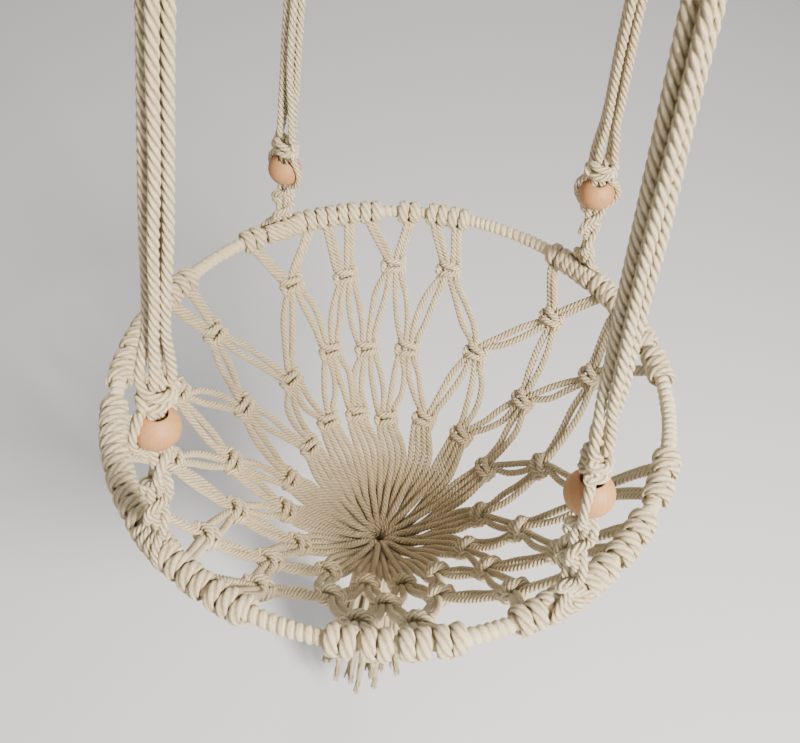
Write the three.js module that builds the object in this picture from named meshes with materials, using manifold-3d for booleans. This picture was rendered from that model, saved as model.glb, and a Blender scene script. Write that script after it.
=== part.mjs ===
// Hanging macrame planter: a cord-wrapped hoop that carries a knotted net bowl with a tassel,
// held by four strands of four cords that meet at a wooden ring. Millimetres, +Z up.
// The origin is the point on the inside of the hanging ring where a hook carries it.
import * as THREE from 'three';
import { mergeVertices } from 'three/addons/utils/BufferGeometryUtils.js';
import Module from 'manifold-3d';

const wasm = await Module();
wasm.setup();

// ---------- driving dimensions ----------
const CORD = 4.5;                 // laid cotton cord of four plies
const GAP = 0.35;                 // clearance between pieces that touch
const HOOP_RADIUS = 150;          // to the middle of the hoop wire
const HOOP_WIRE = 4;
const WRAP_RADIUS = 4;            // outside of the thin cord wound round the hoop
const BOWL_DEPTH = 150;           // hoop plane to where the net cords meet
const BOWL_SHIFT = [-7, -14];     // the meeting point hangs a little off the hoop's middle
const BOWL_POWER = 1.5;           // the net's profile, between a cone (1) and a dish (2)
const APEX = [53.6, -10, 850];    // where the strands meet, seen from the hoop's middle
const BEAD = { diameter: 20, height: 16.5, hole: 9.2 };
const RING = { outer: 56, wire: 9 };
const TOP_WRAP = { radius: 15, height: 38 };
const GATHER = { radius: 19.5, top: 6, height: 24 };
const TASSEL = { length: 165, top: 18.5, bottom: 42 };

// Strands, with angles in degrees: the place on the hoop that the strand's line starts from, its foot,
// the bead's height over the hoop plane, the way that its row of cords runs from left to right, how far
// the two cords beside the bead swing towards its face, and its side of the bundle under the binding.
const STRANDS = [
  { name: 'back_left', angle: 121.3, foot: 121.3, bead: 52, right: -38, beside: [0, 0], bundle: 127 },
  { name: 'back_right', angle: 39.2, foot: 39.2, bead: 65, right: -17, beside: [-12, -12], bundle: 37 },
  { name: 'front_right', angle: -57.7, foot: -57.7, bead: 72, right: -109, beside: [0, 0], bundle: -53 },
  { name: 'front_left', angle: -135.6, foot: -135.6, bead: 78, right: 45, beside: [10, -25], bundle: -143 },
];
// The strand's four cords leave the knot in a row and soon lie two by two, up to the binding. Their places
// over the knot, along the strand and under the binding are in cord diameters.
const CORDS_OVER_KNOT = [[-1.3, -0.35], [-0.55, 0.6], [0.55, -0.6], [1.3, 0.35]];
const CORDS_ALONG = [[-0.66, -0.54], [-0.54, 0.66], [0.54, -0.66], [0.66, 0.54]];
const CORDS_UNDER_BINDING = [[-0.55, -0.55], [-0.55, 0.55], [0.55, -0.55], [0.55, 0.55]];
const BUNDLE_RADIUS = 1.85 * CORD; // the middle of a strand's four cords under the binding

// The net: sixteen gores, each made of two cords folded over the hoop. A gore's pairs of cords
// meet in a knot of row one, part to meet their neighbours in row two, and meet again in row three.
// Angles in degrees, distances as a fraction of the hoop radius.
const GORES = [
  { hitches: [201, 191.5], one: [195, 0.84], two: [183, 0.64], three: [193, 0.43] },
  { hitches: [178.5, 172], one: [174, 0.85], two: [160, 0.67], three: [171.5, 0.425] },
  { hitches: [157, 151], one: [152, 0.86], two: [136, 0.63], three: [145, 0.425] },
  { hitches: [129.5, 115], one: [123, 0.86], two: [115.5, 0.655], three: [127, 0.46] },
  { hitches: [109.3, 103.6], one: [106, 0.845], two: [100.5, 0.64], three: [108.8, 0.45] },
  { hitches: [97.5, 87.5], one: [91, 0.865], two: [83.5, 0.64], three: [90.8, 0.425] },
  { hitches: [80, 74.3], one: [74, 0.87], two: [56, 0.685], three: [67.4, 0.444] },
  { hitches: [46, 31.5], one: [38.6, 0.87], two: [28.5, 0.665], three: [42.2, 0.46] },
  { hitches: [24, 7], one: [16.4, 0.85], two: [0, 0.635], three: [16, 0.46] },
  { hitches: [-20.5, -27], one: [-21, 0.82], two: [-27, 0.6], three: [-11, 0.42] },
  { hitches: [-36.5, -42.5], one: [-40, 0.81], two: [-48, 0.6], three: [-35, 0.42] },
  { hitches: [-49, -65], one: [-57, 0.81], two: [-69, 0.6], three: [-58, 0.42] },
  { hitches: [-79, -84.8], one: [-82, 0.81], two: [-88.5, 0.61], three: [-78, 0.42] },
  { hitches: [-91, -97], one: [-95.5, 0.81], two: [-108, 0.61], three: [-98, 0.42] },
  { hitches: [-118.5, -124.5], one: [-121, 0.81], two: [-133, 0.63], three: [-120, 0.425] },
  { hitches: [-130.2, -146], one: [-141, 0.81], two: [-156, 0.64], three: [-144, 0.425] },
];

// Knots, hitches and the twist follow the cord's thickness.
const PAIR_RADIUS = 0.75 * CORD;  // one tube stands for two cords side by side
const KNOT = { width: 4 * CORD, length: 2.8 * CORD, thick: 2 * CORD };
const KNOT_THREE_WIDTH = 3.1 * CORD;
const ROW_TWO_SIDE = 1.08 * CORD; // row two: each pair passes this far beside the knot's middle
const ROW_TWO_HALF = { width: 2 * CORD, length: 2.4 * CORD };
const TWIST_RADIUS = 1.45 * CORD; // the half-knot sinnet under a bead
const HITCH = { inner: WRAP_RADIUS + 3 * GAP, outer: WRAP_RADIUS + 1.12 * CORD, halfAngle: 2.2 };
const FOOT_HALF_ANGLE = 2.8;
const HOOP_STEPS = 54;
const RING_RISE = 34;             // binding top to the middle of the hanging ring
const RING_MIDDLE = -(RING.outer / 2 - RING.wire);
const APEX_DROP = RING_MIDDLE - RING_RISE - TOP_WRAP.height;
const COTTON = { color: 0xe6dcc6, roughness: 0.95, metalness: 0 };
const BEECH = { color: 0xcb9468, roughness: 0.55, metalness: 0 };
const STEEL = { color: 0x9a9a98, roughness: 0.4, metalness: 0.9 };

// ---------- small helpers ----------
const rad = THREE.MathUtils.degToRad;
const up = new THREE.Vector3(0, 0, 1);
const vector = (x, y, z) => new THREE.Vector3(x, y, z);

function corners(radius, sides) {
  return Array.from({ length: sides }, (_, i) => {
    const a = (2 * Math.PI * (i + 0.5)) / sides;
    return new THREE.Vector2(radius * Math.cos(a), radius * Math.sin(a));
  });
}

function regularShape(radius, sides) {
  return new THREE.Shape(corners(radius, sides));
}

// A tube's section: `sides` outside and `holeSides` inside.
function hollowShape(radius, sides, hole, holeSides) {
  const shape = regularShape(radius, sides);
  shape.holes.push(new THREE.Path(corners(hole, holeSides).reverse()));
  return shape;
}

function sweep(shape, points, steps, closed = false) {
  const path = points.length === 2
    ? new THREE.LineCurve3(points[0], points[1])
    : new THREE.CatmullRomCurve3(points, closed, 'centripetal');
  return new THREE.ExtrudeGeometry(shape, { extrudePath: path, steps, bevelEnabled: false });
}

function cordTube(points, radius, steps, sides) {
  return sweep(regularShape(radius, sides), points, steps);
}

function toSolid(geometry) {
  const bare = geometry.clone();
  for (const name of Object.keys(bare.attributes)) {
    if (name !== 'position') bare.deleteAttribute(name);
  }
  const merged = mergeVertices(bare, 1e-4);
  return new wasm.Manifold(new wasm.Mesh({
    numProp: 3,
    vertProperties: new Float32Array(merged.attributes.position.array),
    triVerts: new Uint32Array(merged.index.array),
  }));
}

function toGeometry(solid) {
  const mesh = solid.getMesh();
  const geometry = new THREE.BufferGeometry();
  geometry.setAttribute('position', new THREE.BufferAttribute(mesh.vertProperties, 3));
  geometry.setIndex(new THREE.BufferAttribute(mesh.triVerts, 1));
  geometry.computeVertexNormals();
  return geometry;
}

function join(geometries) {
  let solid = toSolid(geometries[0]);
  for (const geometry of geometries.slice(1)) solid = solid.add(toSolid(geometry));
  return toGeometry(solid);
}

function turned(profile, segments) {
  const geometry = new THREE.LatheGeometry(profile.map(([r, z]) => new THREE.Vector2(r, z)), segments);
  geometry.rotateX(Math.PI / 2);
  return geometry;
}

// A plain block, `length` along the cords, `width` across and `thick` through the net.
function knotBlock(centre, { along, outward }, width, thick, length) {
  const geometry = new THREE.BoxGeometry(width, length, thick);
  const y = along.clone().normalize();
  const z = outward.clone().addScaledVector(y, -outward.dot(y)).normalize();
  const x = vector(0, 0, 0).crossVectors(y, z);
  geometry.applyMatrix4(new THREE.Matrix4().makeBasis(x, y, z).setPosition(centre));
  return geometry;
}

function onHoop(angle, radial = 0, height = 0) {
  const a = rad(angle);
  return vector((HOOP_RADIUS + radial) * Math.cos(a), (HOOP_RADIUS + radial) * Math.sin(a), height);
}

// A point of the net's surface, `fraction` of the way out to the hoop.
function onNet(angle, fraction, lift = 0) {
  const a = rad(angle);
  const inward = 1 - fraction;
  return vector(
    HOOP_RADIUS * fraction * Math.cos(a) + BOWL_SHIFT[0] * inward,
    HOOP_RADIUS * fraction * Math.sin(a) + BOWL_SHIFT[1] * inward,
    -BOWL_DEPTH * (1 - fraction ** BOWL_POWER) + lift,
  );
}

function netFrame(angle, fraction) {
  const along = onNet(angle, fraction + 0.02).sub(onNet(angle, fraction - 0.02)).normalize();
  const around = vector(-Math.sin(rad(angle)), Math.cos(rad(angle)), 0);
  return { along, around, outward: vector(0, 0, 0).crossVectors(around, along).normalize() };
}

const planter = new THREE.Group();
const hanger = new THREE.Group();     // everything measured from the hoop's middle
planter.add(hanger);

function addMesh(name, geometry, finish, parent = hanger) {
  const mesh = new THREE.Mesh(geometry, new THREE.MeshStandardMaterial(finish));
  mesh.name = name;
  parent.add(mesh);
  return mesh;
}

// ---------- hoop ----------
function hoopArc(from, to, count) {
  return Array.from({ length: count + 1 }, (_, i) => onHoop(from + ((to - from) * i) / count));
}

function addHoop() {
  const ring = new THREE.TorusGeometry(HOOP_RADIUS, HOOP_WIRE / 2, 6, HOOP_STEPS);
  addMesh('hoop_wire', ring, STEEL);
  // The winding is open at its seam, where the thin cord starts and ends.
  const seam = { from: 62, to: 421.3 };
  const section = hollowShape(WRAP_RADIUS, 7, HOOP_WIRE / 2 + 4 * GAP, 4);
  addMesh('hoop_wrap_cord', sweep(section, hoopArc(seam.from, seam.to, 72), HOOP_STEPS), COTTON);
}

function hitchCollar(angle, halfAngle) {
  const points = hoopArc(angle - halfAngle, angle + halfAngle, 1);
  return sweep(hollowShape(HITCH.outer, 6, HITCH.inner, 6), points, 1);
}

// ---------- net ----------
function addGore(index) {
  const gore = GORES[index];
  const before = GORES[(index + GORES.length - 1) % GORES.length].two;
  const parts = gore.hitches.map((angle) => hitchCollar(angle, HITCH.halfAngle));
  const knotOne = onNet(...gore.one);
  const knotThree = onNet(...gore.three);
  const rowTwo = [[before, -ROW_TWO_SIDE], [gore.two, ROW_TWO_SIDE]];
  for (const side of [0, 1]) {
    const shift = side === 0 ? CORD : -CORD;
    const frameOne = netFrame(...gore.one);
    const start = onHoop(gore.hitches[side], -6, -4);
    const intoOne = knotOne.clone().addScaledVector(frameOne.around, shift);
    parts.push(cordTube([start, intoOne], PAIR_RADIUS, 1, 4));
    const [knot, offset] = rowTwo[side];
    const frameTwo = netFrame(...knot);
    const two = onNet(...knot).addScaledVector(frameTwo.around, offset);
    const frameThree = netFrame(...gore.three);
    const intoThree = knotThree.clone().addScaledVector(frameThree.around, shift * 0.6);
    const beforeTwo = two.clone().addScaledVector(frameTwo.along, ROW_TWO_HALF.length * 0.7);
    const afterTwo = two.clone().addScaledVector(frameTwo.along, -ROW_TWO_HALF.length * 0.7);
    parts.push(cordTube([intoOne, beforeTwo, afterTwo, intoThree], PAIR_RADIUS, 4, 4));
    parts.push(knotBlock(two, frameTwo, ROW_TWO_HALF.width, KNOT.thick, ROW_TWO_HALF.length));
  }
  parts.push(knotBlock(knotOne, netFrame(...gore.one), KNOT.width, KNOT.thick, KNOT.length));
  parts.push(knotBlock(knotThree, netFrame(...gore.three), KNOT_THREE_WIDTH, KNOT.thick, KNOT.length));
  // Below row three the cords run together to the middle.
  const evenAngle = 193 - (360 / GORES.length) * index;
  const end = onNet(evenAngle, (GATHER.radius + CORD) / HOOP_RADIUS);
  const middle = onNet((gore.three[0] + evenAngle) / 2, (gore.three[1] + 0.2) / 2);
  parts.push(cordTube([knotThree, middle, end], PAIR_RADIUS, 2, 4));
  addMesh(`net_gore_${String(index + 1).padStart(2, '0')}`, join(parts), COTTON);
}

function addNetBottom() {
  const [x, y] = BOWL_SHIFT;
  const top = -BOWL_DEPTH + GATHER.top;
  const r = GATHER.radius;
  const bottom = top - GATHER.height;
  const knotProfile = [[0, bottom], [r - 1.5, bottom], [r, bottom + 3], [r, top - 5], [r - 4, top], [0, top]];
  const knot = turned(knotProfile, 24);
  knot.translate(x, y, 0);
  addMesh('gathering_knot', knot, COTTON);
  const t = TASSEL;
  const start = bottom - GAP;
  // The domed top is part of a ball round the point that the tassel swings on.
  const dome = [0, 30, 60, 90].map((degrees) => {
    const a = rad(degrees);
    return [t.top * Math.cos(a), start - t.top + t.top * Math.sin(a)];
  });
  dome[dome.length - 1][0] = 0;
  const profile = [[0, start - t.length], [t.bottom, start - t.length],
    [t.bottom - 3, start - 0.75 * t.length], [t.top + 8, start - 0.4 * t.length], ...dome];
  const tassel = turned(profile, 20);
  tassel.translate(x, y, 0);
  addMesh('tassel', tassel, COTTON);
}

// ---------- strands ----------
function direction(angle) {
  return vector(Math.cos(rad(angle)), Math.sin(rad(angle)), 0);
}

function strandLine(strand) {
  const start = onHoop(strand.angle);
  const along = vector(...APEX).sub(start).normalize();
  const level = direction(strand.right);
  const right = level.addScaledVector(along, -level.dot(along)).normalize();
  const face = vector(0, 0, 0).crossVectors(right, along);
  const at = (height, across = 0, out = 0) => start.clone()
    .addScaledVector(along, height / along.z)
    .addScaledVector(right, across)
    .addScaledVector(face, out);
  return { along, outward: face, at };
}

function addStrand(strand) {
  const line = strandLine(strand);
  const beadTop = strand.bead + BEAD.height / 2;
  const beadBottom = strand.bead - BEAD.height / 2;

  // Bead: an oblate ball with a bore for the two core cords.
  const r = BEAD.diameter / 2;
  const h = BEAD.height / 2;
  const bore = BEAD.hole / 2;
  const edge = Math.acos((bore + 0.5) / r);
  const bands = 6;
  const arc = Array.from({ length: bands + 1 }, (_, i) => {
    const a = -edge + (2 * edge * i) / bands;
    return [r * Math.cos(a), h * Math.sin(a) / Math.sin(edge)];
  });
  const bead = turned([[bore, -h], ...arc, [bore, h], [bore, -h]], 16);
  const beadMesh = addMesh(`bead_${strand.name}`, bead, BEECH);
  beadMesh.position.copy(line.at(strand.bead));
  beadMesh.quaternion.setFromUnitVectors(up, line.along);

  // Half-knot sinnet between hoop and bead, with its foot hitched round the hoop.
  const foot = onHoop(strand.foot).setZ(HITCH.inner + 1);
  const middle = foot.clone().lerp(line.at(beadBottom), 0.5).add(vector(0, 0, 1));
  const sinnet = [
    hitchCollar(strand.foot, FOOT_HALF_ANGLE),
    cordTube([foot, middle, line.at(beadBottom - 2)], TWIST_RADIUS, 2, 8),
  ];
  // Two outer cords pass either side of the bead, and two core cords go through it.
  const beside = BEAD.diameter / 2 + CORD / 2 + GAP;
  for (const s of [-1, 1]) {
    const turn = rad(strand.beside[s < 0 ? 0 : 1]);
    const past = (height) => line.at(height, s * beside * Math.cos(turn), beside * Math.sin(turn));
    sinnet.push(cordTube([line.at(beadBottom - 6, s * 3), past(strand.bead - 4), past(strand.bead + 4),
      line.at(beadTop + 6, s * 3)], CORD / 2, 5, 5));
    sinnet.push(cordTube([line.at(beadBottom - 5, s * 1.9), line.at(beadTop + 5, s * 1.9)], 2, 1, 6));
  }
  // Square knot above the bead.
  const knotMiddle = beadTop + 3 + KNOT.length / 2;
  sinnet.push(knotBlock(line.at(knotMiddle), line, KNOT.width, KNOT.thick * 1.1, KNOT.length));
  addMesh(`sinnet_${strand.name}`, join(sinnet), COTTON);

  // Four cords from the square knot up to the binding under the ring.
  const start = knotMiddle + KNOT.length / 2 + GAP;
  CORDS_OVER_KNOT.forEach(([across, out], i) => {
    const [x, y] = CORDS_ALONG[i];
    const path = [line.at(start, across * CORD, out * CORD), line.at(start + 40, x * CORD, y * CORD),
      line.at(start + 90, x * CORD, y * CORD), line.at(0.75 * APEX[2], x * CORD, y * CORD),
      bundlePlace(strand, i)];
    const cord = cordTube(path, CORD / 2 - 0.15, 8, 6);
    addMesh(`hanger_cord_${strand.name}_${i + 1}`, cord, COTTON);
  });
}

// Where the cord's end lies in the round bundle of sixteen under the binding.
function bundlePlace(strand, i) {
  const [across, out] = CORDS_UNDER_BINDING[i];
  return vector(APEX[0], APEX[1], APEX[2] - 3 * GAP)
    .addScaledVector(direction(strand.bundle), BUNDLE_RADIUS)
    .addScaledVector(direction(strand.right), across * CORD)
    .addScaledVector(direction(strand.right - 90), out * CORD);
}

// ---------- top: binding, loops and hanging ring ----------
function addTop() {
  const wrap = TOP_WRAP;
  const r = wrap.radius;
  const binding = turned([[0, 0], [r - 1.5, 0], [r, 2], [r, wrap.height - 2], [r - 1.5, wrap.height],
    [0, wrap.height]], 20);
  const ringMiddle = wrap.height + RING_RISE;
  const loops = [binding];
  for (const turn of [-44, -22, 0, 22, 44]) {
    const a = rad(turn);
    const wireRadius = (RING.outer - RING.wire) / 2;
    const clear = RING.wire / 2 + CORD / 2 + 3 * GAP;
    const centre = vector(wireRadius * Math.sin(a), 0, ringMiddle - wireRadius * Math.cos(a));
    const inward = vector(-Math.sin(a), 0, Math.cos(a));
    const points = [vector(4 * Math.sin(a), -5, wrap.height - 3)];
    for (let k = 0; k <= 6; k++) {
      const b = rad(-100 + (200 * k) / 6);
      const across = vector(0, clear * Math.sin(b), 0);
      points.push(centre.clone().addScaledVector(inward, clear * Math.cos(b)).add(across));
    }
    points.push(vector(4 * Math.sin(a), 5, wrap.height - 3));
    loops.push(cordTube(points, CORD / 2, 12, 4));
  }
  addMesh('top_binding', join(loops), COTTON, planter).position.setZ(APEX_DROP);
}

function addHangingRing() {
  const wire = RING.wire / 2;
  const ring = new THREE.TorusGeometry(RING.outer / 2 - wire, wire, 8, 32);
  ring.rotateX(Math.PI / 2);
  ring.translate(0, 0, RING_MIDDLE);
  addMesh('hanging_ring', ring, BEECH, planter);
}

// The whole planter hangs with its weight under the hook, so the hoop tilts a few degrees.
function placeHanger() {
  const fromHoop = vector(...APEX).normalize();
  hanger.quaternion.setFromUnitVectors(fromHoop, up);
  const apexPlace = vector(...APEX).applyQuaternion(hanger.quaternion);
  hanger.position.set(0, 0, APEX_DROP).sub(apexPlace);
}

addHoop();
GORES.forEach((_, index) => addGore(index));
addNetBottom();
STRANDS.forEach(addStrand);
addTop();
addHangingRing();
placeHanger();

export default planter;
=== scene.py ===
"""Looks for the hanging macrame planter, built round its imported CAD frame."""
from math import cos, degrees, pi, radians, sin, sqrt

import bpy
import numpy as np
from mathutils import Matrix, Vector

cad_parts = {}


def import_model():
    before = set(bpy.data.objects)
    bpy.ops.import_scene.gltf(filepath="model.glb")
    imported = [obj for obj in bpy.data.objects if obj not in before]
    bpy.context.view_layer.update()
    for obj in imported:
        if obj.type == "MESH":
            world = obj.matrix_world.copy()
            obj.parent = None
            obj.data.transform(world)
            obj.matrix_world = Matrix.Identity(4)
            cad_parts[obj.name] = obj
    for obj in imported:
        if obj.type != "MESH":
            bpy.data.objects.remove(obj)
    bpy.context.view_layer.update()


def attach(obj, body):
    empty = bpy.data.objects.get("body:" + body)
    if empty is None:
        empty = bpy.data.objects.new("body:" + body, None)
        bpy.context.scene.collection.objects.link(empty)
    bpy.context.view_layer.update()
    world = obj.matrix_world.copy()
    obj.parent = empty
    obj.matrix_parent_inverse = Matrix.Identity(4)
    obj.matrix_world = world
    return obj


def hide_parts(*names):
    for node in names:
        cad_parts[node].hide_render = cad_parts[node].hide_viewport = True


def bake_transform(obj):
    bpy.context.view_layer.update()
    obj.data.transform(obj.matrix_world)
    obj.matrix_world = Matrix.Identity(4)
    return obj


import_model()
MM = 0.001
rng = np.random.default_rng(7)

# ---------- driving dimensions, in millimetres, as in the CAD ----------
CORD = 4.5
PLIES = 4
HOOP_RADIUS = 150
WRAP_RADIUS = 4.0
BOWL_DEPTH = 150
BOWL_SHIFT = (-7, -14)
BOWL_POWER = 1.5
APEX = Vector((53.6, -10, 850))
BEAD = {"diameter": 20, "height": 16.5, "hole": 9.2}
RING = {"outer": 56, "wire": 9}
TOP_WRAP = {"radius": 15, "height": 38}
GATHER = {"radius": 18.4, "top": -152.6, "bottom": -167.6, "turns": 4.4}    # the winding's cord line
TASSEL = {"length": 165, "top": 18.5, "bottom": 42}
RING_RISE = 34
RING_MIDDLE = -(RING["outer"] / 2 - RING["wire"])
APEX_DROP = RING_MIDDLE - RING_RISE - TOP_WRAP["height"]
# Strands, angles in degrees: place on the hoop, bead's height over it, the way its row of cords runs from
# left to right, the swing of its two cords beside the bead, and its side of the bundle at the top.
STRANDS = {
    "back_left": (121.3, 52, -38, (0, 0), 127),
    "back_right": (39.2, 65, -17, (-12, -12), 37),
    "front_right": (-57.7, 72, -109, (0, 0), -53),
    "front_left": (-135.6, 78, 45, (10, -25), -143),
}
TURNED = {"back_left": 12, "back_right": -8, "front_right": 40, "front_left": 8}    # how each four lie
# A strand's four cords, over its knot, along it and under the binding, in cord diameters.
OVER_KNOT = ((-1.3, -0.35), (-0.55, 0.6), (0.55, -0.6), (1.3, 0.35))
ALONG = ((-0.66, -0.54), (-0.54, 0.66), (0.54, -0.66), (0.66, 0.54))
UNDER_BINDING = ((-0.55, -0.55), (-0.55, 0.55), (0.55, -0.55), (0.55, 0.55))
BUNDLE_RADIUS = 1.85 * CORD
# Each gore: its two hitches, then its knots of row one, two and three as (degrees, share of radius).
GORES = [
    ((201, 191.5), (195, 0.84), (183, 0.64), (193, 0.43)),
    ((178.5, 172), (174, 0.85), (160, 0.67), (171.5, 0.425)),
    ((157, 151), (152, 0.86), (136, 0.63), (145, 0.425)),
    ((129.5, 115), (123, 0.86), (115.5, 0.655), (127, 0.46)),
    ((109.3, 103.6), (106, 0.845), (100.5, 0.64), (108.8, 0.45)),
    ((97.5, 87.5), (91, 0.865), (83.5, 0.64), (90.8, 0.425)),
    ((80, 74.3), (74, 0.87), (56, 0.685), (67.4, 0.444)),
    ((46, 31.5), (38.6, 0.87), (28.5, 0.665), (42.2, 0.46)),
    ((24, 7), (16.4, 0.85), (0, 0.635), (16, 0.46)),
    ((-20.5, -27), (-21, 0.82), (-27, 0.6), (-11, 0.42)),
    ((-36.5, -42.5), (-40, 0.81), (-48, 0.6), (-35, 0.42)),
    ((-49, -65), (-57, 0.81), (-69, 0.6), (-58, 0.42)),
    ((-79, -84.8), (-82, 0.81), (-88.5, 0.61), (-78, 0.42)),
    ((-91, -97), (-95.5, 0.81), (-108, 0.61), (-98, 0.42)),
    ((-118.5, -124.5), (-121, 0.81), (-133, 0.63), (-120, 0.425)),
    ((-130.2, -146), (-141, 0.81), (-156, 0.64), (-144, 0.425)),
]
NET_LAY = 2.5 * CORD      # one turn of the cord's twist in the net
STRAND_LAY = 3.4 * CORD   # the pulled strands are a little unwound

# The hanger's own frame: the hoop's middle is its origin and the hoop's plane is z = 0.
to_up = APEX.normalized().rotation_difference(Vector((0, 0, 1))).to_matrix()
hanger_origin = Vector((0, 0, APEX_DROP)) - to_up @ APEX
TURN = np.array(to_up)
ORIGIN = np.array(hanger_origin)


def world(points):
    """Points of the hanger's frame in millimetres, as row-frame metres."""
    return (np.asarray(points, float) @ TURN.T + ORIGIN) * MM


def unit(v):
    v = np.asarray(v, float)
    return v / np.linalg.norm(v, axis=-1, keepdims=True)


# ---------- camera ----------
def make_camera():
    elevation, roll, distance = radians(48.84), radians(1.77), 2.8637 * HOOP_RADIUS
    sensor, lens = 36, 34.875
    lens_per_sensor = lens / sensor
    back = np.array((0, -cos(elevation), sin(elevation)))
    right = np.array((1.0, 0, 0))
    up = np.cross(right, -back)
    across = cos(roll) * right + sin(roll) * up
    rise = -sin(roll) * right + cos(roll) * up
    # The hoop's middle is a little left of and under the aim.
    hoop_off = 0.00838 * distance / lens_per_sensor
    place = back * distance + hoop_off * (across + rise)
    matrix = Matrix.Identity(4)
    for column, axis in enumerate((across, rise, back)):
        for row in range(3):
            matrix[row][column] = axis[row]
    matrix = Matrix(to_up).to_4x4() @ matrix
    matrix.translation = Vector(world(place))
    data = bpy.data.cameras.new("camera")
    data.sensor_width, data.lens, data.clip_start, data.clip_end = sensor, lens, 0.01, 50
    camera = bpy.data.objects.new("camera", data)
    camera.matrix_world = matrix
    bpy.context.scene.collection.objects.link(camera)
    bpy.context.scene.camera = camera


make_camera()


# ---------- mesh helpers ----------
def mesh_object(name, points, quads, uv=None, smooth=True):
    mesh = bpy.data.meshes.new(name)
    count = len(quads)
    mesh.vertices.add(len(points))
    mesh.vertices.foreach_set("co", np.asarray(points, np.float32).ravel())
    mesh.loops.add(count * 4)
    mesh.loops.foreach_set("vertex_index", np.asarray(quads, np.int32).ravel())
    mesh.polygons.add(count)
    mesh.polygons.foreach_set("loop_start", np.arange(0, count * 4, 4, dtype=np.int32))
    mesh.update(calc_edges=True)
    mesh.validate()
    if smooth:
        mesh.polygons.foreach_set("use_smooth", np.ones(len(mesh.polygons), bool))
    if uv is not None:
        layer = mesh.uv_layers.new(name="along")
        layer.data.foreach_set("uv", np.asarray(uv, np.float32).ravel())
    obj = bpy.data.objects.new(name, mesh)
    bpy.context.scene.collection.objects.link(obj)
    return obj


class Weave:
    """Collects the vertices, faces and UVs of many tubes, and makes one object of them."""

    def __init__(self):
        self.points, self.quads, self.uvs, self.count = [], [], [], 0

    def add(self, points, quads, uv):
        self.points.append(points)
        self.quads.append(quads + self.count)
        self.uvs.append(uv)
        self.count += len(points)

    def object(self, name):
        return mesh_object(name, np.concatenate(self.points), np.concatenate(self.quads),
                           np.concatenate(self.uvs))


def curve_through(points, step):
    """A smooth line through the points (centripetal Catmull-Rom), in even steps."""
    p = np.asarray(points, float)
    keep = np.r_[True, np.linalg.norm(np.diff(p, axis=0), axis=1) > 1e-6]
    p = p[keep]
    p = np.vstack([2 * p[0] - p[1], p, 2 * p[-1] - p[-2]])
    knots = np.r_[0, np.cumsum(np.sqrt(np.linalg.norm(np.diff(p, axis=0), axis=1)))]
    dense = []
    for i in range(1, len(p) - 2):
        t0, t1, t2, t3 = knots[i - 1:i + 3]
        n = max(4, int(np.linalg.norm(p[i + 1] - p[i]) / step * 2) + 2)
        t = np.linspace(t1, t2, n, endpoint=False)[:, None]
        a1 = (t1 - t) / (t1 - t0) * p[i - 1] + (t - t0) / (t1 - t0) * p[i]
        a2 = (t2 - t) / (t2 - t1) * p[i] + (t - t1) / (t2 - t1) * p[i + 1]
        a3 = (t3 - t) / (t3 - t2) * p[i + 1] + (t - t2) / (t3 - t2) * p[i + 2]
        b1 = (t2 - t) / (t2 - t0) * a1 + (t - t0) / (t2 - t0) * a2
        b2 = (t3 - t) / (t3 - t1) * a2 + (t - t1) / (t3 - t1) * a3
        dense.append((t2 - t) / (t2 - t1) * b1 + (t - t1) / (t2 - t1) * b2)
    dense.append(p[-2:-1])
    return even_steps(np.concatenate(dense), step)


def even_steps(line, step):
    s = np.r_[0, np.cumsum(np.linalg.norm(np.diff(line, axis=0), axis=1))]
    n = max(3, int(round(s[-1] / step)) + 1)
    at = np.linspace(0, s[-1], n)
    return np.stack([np.interp(at, s, line[:, k]) for k in range(3)], -1)


def frames_along(line):
    """Unit tangents, and one side direction carried along without turning."""
    tangent = unit(np.gradient(line, axis=0))
    side = np.empty_like(line)
    first = np.cross(tangent[0], (0.31, 0.62, 0.72))
    side[0] = first / np.linalg.norm(first)
    for i in range(1, len(line)):
        v = side[i - 1] - tangent[i] * (side[i - 1] @ tangent[i])
        side[i] = v / sqrt(v @ v)
    return tangent, side, np.cross(tangent, side)


def ply_section(plies, rounds=4):
    """The outline of plies laid together, for a cord of diameter 1: angles and radii."""
    ratio = 1 / sin(pi / plies)
    ply = 0.5 / (1 + ratio)
    angle = np.arange(plies * rounds) * 2 * pi / (plies * rounds)
    local = (angle + pi / plies) % (2 * pi / plies) - pi / plies
    offset = ply * ratio
    radius = offset * np.cos(local) + np.sqrt(np.maximum(ply**2 - (offset * np.sin(local))**2, 0))
    return angle, np.maximum(radius, 0.37)


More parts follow.
